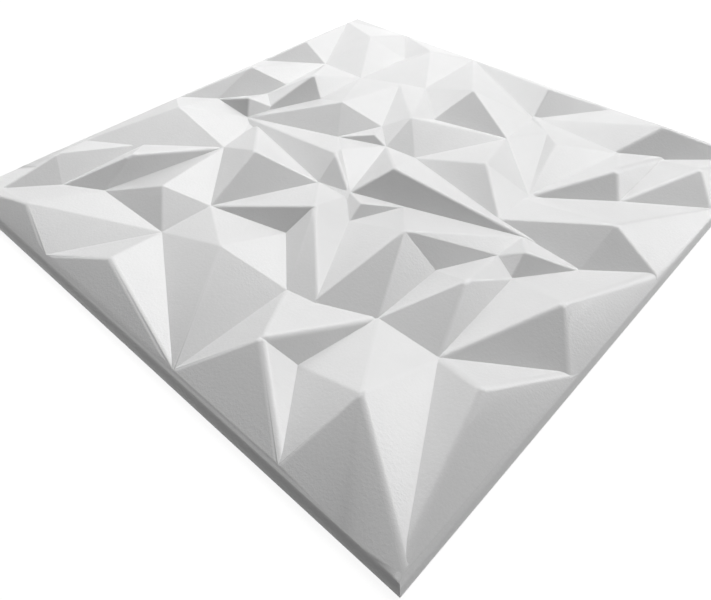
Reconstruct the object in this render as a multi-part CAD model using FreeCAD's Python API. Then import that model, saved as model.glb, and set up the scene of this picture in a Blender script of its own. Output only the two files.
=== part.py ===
import FreeCAD, Part
import math
import os
from FreeCAD import Vector as V

# Wall panel tile with a crystal relief, moulded in one piece of light foam.
# Millimetres, +Z up, origin at the middle of the flat back.

# Driving sizes
side = 600.0            # edge of the square tile
slab_height = 8.0       # flat body under the relief
valley = 10.0           # usual height of the valleys
peak = 27.0             # usual height of the peaks before their tips are rounded
broad = 11.0            # rounding of the broad ridges, most of them along the front edges
plain = 7.0             # rounding of the other ridges
fine = 4.0              # rounding of the smallest crags
wall_height = 6.5       # where the side walls meet the slopes of the rim
rim_slope = 30.0        # degrees, slope of the rim above the side walls
rim_radius = 11.0       # rounding between the side walls and the rim
lap = 6.5               # how far the crags are sunk into the slab

# Plan of the relief on a tile 600 mm square, x and y measured from its front corner.
# The third number of each foot is its height above or below the usual valley.
plan_side = 600.0
feet = {
    # Feet along the front edge
    "f1": (16, 11, 1.6), "f2": (52, 2, 1.5), "f3": (206, 9, 1.4), "f4": (353, 9, 1.4), "f5": (480, 11, 1.4),
    # Feet along the left edge
    "l1": (8, 113, 1.2), "l2": (7, 235, 1.2), "l3": (7, 436, 1.2),
    # Feet along the back edge
    "b1": (27, 565, 4), "b2": (132, 579, 6.5), "b3": (257, 582, 6.5), "b4": (396, 582, 6.5),
    "b5": (574, 595, 0.5), "b0": (7, 594, 0.5),
    # Feet along the right edge
    "r1": (594, 7, 0.5), "r2": (597, 98, 5), "r3": (594, 172, 0.5), "r4": (594, 377, 0.5),
    "r5": (594, 499, 0.5),
    # Feet inside, in rows from front to back
    "v1": (566, 40, 0), "v2": (153, 92, 0), "v3": (264, 98, 2), "v4": (315, 60, 0),
    "v5": (430, 82, 0), "v6": (534, 82, 1), "v7": (153, 155, 0), "v8": (228, 154, 2),
    "v9": (280, 124, 3), "v10": (316, 121, 3.5), "v11": (323, 153, 4.5), "v12": (380, 155, 0),
    "v13": (504, 121, 3.5), "v14": (75, 168, 0), "v15": (134, 207, 3), "v16": (479, 195, 10),
    "v17": (125, 236, 0.5), "v18": (229, 261, 0.5), "v19": (279, 235, 2), "v20": (455, 231, 0.5),
    "v21": (514, 233, -0.5), "v22": (175, 292, 2), "v23": (254, 293, 0), "v24": (264, 293, 0.5),
    "v25": (352, 322, 1), "v26": (356, 284, 0.5), "v27": (433, 319, 1), "v28": (99, 384, 0),
    "v29": (155, 382, 0.5), "v30": (255, 330, 0.5), "v31": (306, 346, 10), "v32": (331, 377, 1),
    "v33": (380, 353, 2), "v34": (487, 375, 0.5), "v35": (471, 404, 2), "v36": (99, 487, -0.5),
    "v37": (232, 458, 0.5), "v38": (284, 462, 1), "v39": (293, 492, -0.5), "v40": (328, 489, 0.5),
    "v41": (379, 454, 2), "v42": (454, 456, 1), "v43": (534, 449, 1), "v44": (75, 529, 0),
    "v45": (176, 529, 2), "v46": (344, 513, 1.5), "v47": (454, 521, 0), "v48": (297, 552, 1),
}

# Each crag is a low pyramid: x and y of its peak, the height of the peak above or below the
# usual one, the rounding of its ridges, and one or two rings of feet in order round it.
# Two open rings that each leave out a facet of the other meet in the valley between them.
crags = [
    (137, 43, 3.5, broad, "f1 v2 f3 f2 f1"),
    (249, 42, 4, broad, "f3 v2 v3 v4 f4 f3"),
    (369, 59, 2, broad, "v11 v12 v5 f5 f4 v4 v11"),
    (510, 38, 1, broad, "v5 v6 v1 r1 f5 v5"),
    (78, 103, 2.5, broad, "v7 v2 f1 l1 v14 v7"),
    (222, 118, -0.5, plain, "v2 v7 v8 v9 v3 v2"),
    (290, 102, -3.5, plain, "v9 v10 v4 v3 v9"),
    (456, 101, -0.5, broad, "v12 v13 v6 v5 v12"),
    (561, 98, 3.5, broad, "v13 v21 r3 r2 r1 v1 v13"),
    (66, 196, 1, broad, "v14 l1 l2 v17 v7", "l1 l2 v17 v7 v14"),
    (233, 195, 5, plain, "v15 v18 v19 v10 v9 v8", "v8 v7 v15 v18 v19 v10"),
    (374, 205, 2, plain, "v11 v26 v20 v12 v11"),
    (459, 174, -2, fine, "v12 v16 v13 v12"),
    (479, 195, -7, plain, "v12 v20 v21 v13 v12"),
    (208, 285, 2, plain, "v22 v29 v30 v23 v18 v15", "v29 v30 v23 v18 v15 v17 v22"),
    (250, 265, -9, fine, "v18 v24 v19 v18"),
    (304, 268, 4, plain, "v10 v24 v25 v26 v11"),
    (558, 242, 0.5, plain, "v21 r4 r3 v21"),
    (40, 372, -3.5, broad, "l2 l3 v28 l2"),
    (113, 308, 0, plain, "l2 v28 v29 v22 v17 l2"),
    (291, 338, -2, plain, "v24 v30 v39 v32 v31 v24"),
    (306, 346, -7, fine, "v24 v30 v32 v25 v24"),
    (355, 342, -10.5, fine, "v25 v32 v33 v25"),
    (398, 324, 0, plain, "v27 v20 v26 v25 v33 v35", "v20 v26 v25 v33 v35 v34 v27"),
    (488, 304, 4.5, plain, "v20 v27 v34 r4 v21 v20"),
    (134, 429, -3, plain, "v28 v36 v37 v29 v28"),
    (231, 399, 4, plain, "v29 v37 v38 v30 v29"),
    (369, 407, 1.5, plain, "v41 v42 v35 v33 v32 v39", "v42 v35 v33 v32 v39 v41"),
    (548, 416, -0.5, plain, "v43 r5 r4 v34 v42", "r5 r4 v34 v42 v43"),
    (30, 511, -6, broad, "l3 b0 b1 v44 v36 v28 l3"),
    (143, 496, 1, plain, "v44 v45 v37 v36 v44"),
    (308, 504, -2.5, fine, "v39 v48 v46 v40 v39"),
    (393, 478, 3.5, plain, "v40 v46 v47 v42 v41 v40"),
    (522, 501, 4, plain, "v42 v47 b5 r5 v43 v42"),
    (93, 566, -3.5, plain, "b1 b2 v45 v44 b1"),
    (237, 545, 0, plain, "v37 b2 b3 v48 v39 v37"),
    (359, 560, 0.5, plain, "v48 b3 b4 v47 v46 v48"),
    (461, 565, 0, plain, "v47 b4 b5 v47"),
]


def node(x, y, z):
    """Point of the plan in the frame of the tile."""
    scale = side / plan_side
    return V(x * scale - side / 2, y * scale - side / 2, z)


def centred_block(edge, bottom, height):
    return Part.makeBox(edge, edge, height, V(-edge / 2, -edge / 2, bottom))


def space_above(point, normal):
    """Block much larger than the tile that fills the outer side of a plane."""
    block = centred_block(4 * side, 0, 4 * side)
    block.Placement = FreeCAD.Placement(point, FreeCAD.Rotation(V(0, 0, 1), normal))
    return block


def facet_body(apex, ring, radius):
    """Block cut down to one radius inside every facet round the apex."""
    body = centred_block(2 * side, -side, 2 * side)
    feet_round = [node(*feet[name][:2], valley + feet[name][2]) for name in ring.split()]
    for first, second in zip(feet_round, feet_round[1:]):
        normal = (first - apex).cross(second - apex).normalize()
        if normal.z < 0:
            normal = -normal
        body = body.cut(space_above(apex - normal * radius, normal))
    return body


def crag(x, y, lift, radius, *rings):
    """Pyramids that share a peak, grown by the radius so that every ridge comes out round."""
    apex = node(x, y, peak + lift)
    above_base = centred_block(side + 2 * lap, slab_height - lap, side)
    pieces = []
    for ring in rings:
        rounded = facet_body(apex, ring, radius).makeOffsetShape(radius, 0.001, join=0)
        pieces.append(rounded.common(above_base))
    return pieces


def rim_envelope():
    """Block with the outline of the tile whose walls roll over into slopes at the rim."""
    body = centred_block(side, 0, side / 4)
    slope = math.radians(rim_slope)
    for x, y in (1, 0), (-1, 0), (0, 1), (0, -1):
        outward = V(x * math.sin(slope), y * math.sin(slope), math.cos(slope))
        body = body.cut(space_above(V(x * side / 2, y * side / 2, wall_height), outward))
    rolled = [edge for edge in body.Edges
              if abs(edge.BoundBox.ZMin - wall_height) + abs(edge.BoundBox.ZMax - wall_height) < 0.001]
    return body.makeFillet(rim_radius, rolled)


pieces = [piece for entry in crags for piece in crag(*entry)]
# The relief is built larger than the tile and then trimmed to the outline and the rim
slab = centred_block(side + 4 * lap, -lap, slab_height + lap)
relief = slab.fuse(pieces, 0.00003)  # the small tolerance merges tips that two pieces share
tile = relief.common(rim_envelope()).removeSplitter()
os.makedirs("parts", exist_ok=True)
tile.Solids[0].exportStep("parts/wall_tile.step")
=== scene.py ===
import math

import bmesh
import bpy
from mathutils import Matrix, Vector


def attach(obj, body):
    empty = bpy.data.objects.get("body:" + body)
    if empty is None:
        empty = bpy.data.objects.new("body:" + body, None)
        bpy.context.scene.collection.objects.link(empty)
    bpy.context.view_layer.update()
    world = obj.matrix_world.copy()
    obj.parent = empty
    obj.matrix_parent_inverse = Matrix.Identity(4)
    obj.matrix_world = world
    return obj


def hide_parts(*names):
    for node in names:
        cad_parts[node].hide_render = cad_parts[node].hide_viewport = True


# The dressed wall tile: its skin, foam, floor, lamps and camera. Metres, as in the frame.

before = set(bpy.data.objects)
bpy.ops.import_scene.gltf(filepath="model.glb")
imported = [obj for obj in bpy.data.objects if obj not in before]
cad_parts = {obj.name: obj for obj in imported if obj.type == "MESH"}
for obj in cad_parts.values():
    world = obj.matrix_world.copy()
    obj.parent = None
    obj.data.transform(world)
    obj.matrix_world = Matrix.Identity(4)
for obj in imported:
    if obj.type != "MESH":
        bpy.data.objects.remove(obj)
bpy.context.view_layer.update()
scene = bpy.context.scene

# Camera of the photograph: in front of the near corner and looking down on the tile
camera_place = (-0.4074, -0.3823, 0.3886)
camera_azimuth = 42.93      # degrees
camera_down = 45.43         # degrees below level
camera_roll = -0.93         # degrees
camera_lens = 31.75         # mm on a sensor 36 mm wide
camera_shift = -0.0252      # part of the sensor's width

# Skin
one_point = 2e-6            # corners nearer than this are joined
valley_turn = -3.0          # degrees, an edge turned in by more is a crisp valley
corner_turn = 45.0          # degrees, an edge turned out by more is a crisp corner

# Foam
pale, paler = 0.83, 0.87    # tones that the mottling mixes
bead_cells = 380            # beads to a metre, pressed flat, about 2.6 mm each
bead_height, bead_strength = 0.0004, 0.16
grain_cells = 850
grain_height, grain_strength = 0.0003, 0.25
mottle_cells = 45

# Floor, which shows as a white page with a faint shadow
floor_reach = 20.0
floor_gap = 0.0002          # below the tile's back
floor_tone = 0.5            # what lights the tile from below
page_glow = 0.9
page_shade = 0.25           # the part of the page that takes the shadow

# Soft studio lamps: azimuth and elevation in degrees, and light that reaches the tile's middle
lamps = [
    (270, 8, 0.24), (30, 25, 0.14), (60, 25, 0.26), (90, 25, 0.28), (330, 25, 0.62),
    (15, 45, 0.55), (45, 45, 0.52), (75, 45, 0.36), (345, 45, 0.76),
]
lamp_distance = 2.8
lamp_size = 0.22            # radius to distance
room_light = 0.02


def grey(tone):
    return (tone, tone, tone, 1)


def direction(azimuth, elevation):
    """Unit vector from the tile towards a place in the room, angles in degrees."""
    a, e = math.radians(azimuth), math.radians(elevation)
    return Vector((math.cos(a) * math.cos(e), math.sin(a) * math.cos(e), math.sin(e)))


def place_camera():
    forward = direction(camera_azimuth, -camera_down)
    azimuth, roll = math.radians(camera_azimuth), math.radians(camera_roll)
    level = Vector((math.sin(azimuth), -math.cos(azimuth), 0))
    upward = level.cross(forward)
    right = level * math.cos(roll) + upward * math.sin(roll)
    top = upward * math.cos(roll) - level * math.sin(roll)
    turn = Matrix((right, top, -forward)).transposed()
    camera = bpy.data.objects.new("camera", bpy.data.cameras.new("camera"))
    camera.matrix_world = Matrix.Translation(camera_place) @ turn.to_4x4()
    camera.data.sensor_width = 36
    camera.data.lens = camera_lens
    camera.data.shift_x = camera_shift
    scene.collection.objects.link(camera)
    scene.camera = camera


def make_skin(material):
    """The visible skin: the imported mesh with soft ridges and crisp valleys."""
    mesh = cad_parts["wall_tile"].data.copy()
    skin = bpy.data.objects.new("tile_skin", mesh)
    scene.collection.objects.link(skin)
    work = bmesh.new()
    work.from_mesh(mesh)
    bmesh.ops.remove_doubles(work, verts=work.verts, dist=one_point)
    for face in work.faces:
        face.smooth = True
    for edge in work.edges:
        if len(edge.link_faces) == 2:
            turn = math.degrees(edge.calc_face_angle_signed(0.0))
            edge.smooth = valley_turn <= turn <= corner_turn
    work.to_mesh(mesh)
    work.free()
    mesh.materials.clear()
    mesh.materials.append(material)

    # The roundings bend the shading, and the facets beside them stay flat
    weighted = skin.modifiers.new("facets stay flat", "WEIGHTED_NORMAL")
    weighted.mode = "FACE_AREA"
    weighted.weight = 100
    weighted.keep_sharp = True
    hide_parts("wall_tile")
    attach(skin, "root")


def foam_material():
    """White moulded foam with a smooth, slightly glossy surface of pressed beads."""
    material = bpy.data.materials.new("white moulded foam")
    material.use_nodes = True
    nodes, links = material.node_tree.nodes, material.node_tree.links
    shader = nodes["Principled BSDF"]
    shader.inputs["Roughness"].default_value = 0.36
    shader.inputs["Specular IOR Level"].default_value = 1.0

    place = nodes.new("ShaderNodeTexCoord")
    beads = nodes.new("ShaderNodeTexVoronoi")
    beads.feature = "SMOOTH_F1"
    beads.inputs["Scale"].default_value = bead_cells
    beads.inputs["Smoothness"].default_value = 0.6
    grain = nodes.new("ShaderNodeTexNoise")
    grain.inputs["Scale"].default_value = grain_cells
    grain.inputs["Detail"].default_value = 3
    mottle = nodes.new("ShaderNodeTexNoise")
    mottle.inputs["Scale"].default_value = mottle_cells
    mottle.inputs["Detail"].default_value = 4
    for texture in (beads, grain, mottle):
        links.new(place.outputs["Object"], texture.inputs["Vector"])

    tone = nodes.new("ShaderNodeMix")
    tone.data_type = "RGBA"
    tone.inputs[6].default_value = grey(pale)
    tone.inputs[7].default_value = grey(paler)
    links.new(mottle.outputs["Fac"], tone.inputs[0])
    links.new(tone.outputs[2], shader.inputs["Base Color"])

    bead_bump = nodes.new("ShaderNodeBump")
    bead_bump.inputs["Distance"].default_value = bead_height
    bead_bump.inputs["Strength"].default_value = bead_strength
    links.new(beads.outputs["Distance"], bead_bump.inputs["Height"])
    grain_bump = nodes.new("ShaderNodeBump")
    grain_bump.inputs["Distance"].default_value = grain_height
    grain_bump.inputs["Strength"].default_value = grain_strength
    links.new(grain.outputs["Fac"], grain_bump.inputs["Height"])
    links.new(bead_bump.outputs["Normal"], grain_bump.inputs["Normal"])
    links.new(grain_bump.outputs["Normal"], shader.inputs["Normal"])
    return material


def show_page(nodes, links, lit, page, output):
    """Use page where the camera looks, also in a reflection or through glass, and lit elsewhere."""
    rays = nodes.new("ShaderNodeLightPath")
    seen = rays.outputs["Is Camera Ray"]
    for kind in ("Is Glossy Ray", "Is Transmission Ray"):
        either = nodes.new("ShaderNodeMath")
        either.operation = "MAXIMUM"
        links.new(seen, either.inputs[0])
        links.new(rays.outputs[kind], either.inputs[1])
        seen = either.outputs[0]
    mix = nodes.new("ShaderNodeMixShader")
    links.new(seen, mix.inputs[0])
    links.new(lit.outputs[0], mix.inputs[1])
    links.new(page.outputs[0], mix.inputs[2])
    links.new(mix.outputs[0], output.inputs["Surface"])


def make_floor():
    far = floor_reach
    mesh = bpy.data.meshes.new("floor")
    mesh.from_pydata([(-far, -far, 0), (far, -far, 0), (far, far, 0), (-far, far, 0)], [], [(0, 1, 2, 3)])
    floor = bpy.data.objects.new("floor", mesh)
    floor.location.z = -floor_gap
    scene.collection.objects.link(floor)

    material = bpy.data.materials.new("white page")
    material.use_nodes = True
    nodes, links = material.node_tree.nodes, material.node_tree.links
    paper = nodes["Principled BSDF"]
    paper.inputs["Base Color"].default_value = grey(floor_tone)
    paper.inputs["Roughness"].default_value = 1
    shaded = nodes.new("ShaderNodeBsdfDiffuse")
    shaded.inputs["Color"].default_value = grey(page_shade)
    glow = nodes.new("ShaderNodeEmission")
    glow.inputs["Color"].default_value = grey(1)
    glow.inputs["Strength"].default_value = page_glow
    page = nodes.new("ShaderNodeAddShader")
    links.new(shaded.outputs[0], page.inputs[0])
    links.new(glow.outputs[0], page.inputs[1])
    show_page(nodes, links, paper, page, nodes["Material Output"])
    mesh.materials.append(material)


def place_lamps():
    for azimuth, elevation, strength in lamps:
        lamp = bpy.data.objects.new("lamp", bpy.data.lights.new("lamp", "POINT"))
        lamp.data.energy = strength * 4 * math.pi * lamp_distance ** 2
        lamp.data.shadow_soft_size = lamp_size * lamp_distance
        lamp.location = direction(azimuth, elevation) * lamp_distance
        scene.collection.objects.link(lamp)


def make_room():
    world = bpy.data.worlds.new("room")
    world.use_nodes = True
    nodes, links = world.node_tree.nodes, world.node_tree.links
    light = nodes["Background"]
    light.inputs["Color"].default_value = grey(1)
    light.inputs["Strength"].default_value = room_light
    page = nodes.new("ShaderNodeBackground")
    page.inputs["Color"].default_value = grey(1)
    page.inputs["Strength"].default_value = 1
    show_page(nodes, links, light, page, nodes["World Output"])
    scene.world = world


place_camera()
make_skin(foam_material())
make_floor()
place_lamps()
make_room()
scene.view_settings.view_transform = "Standard"
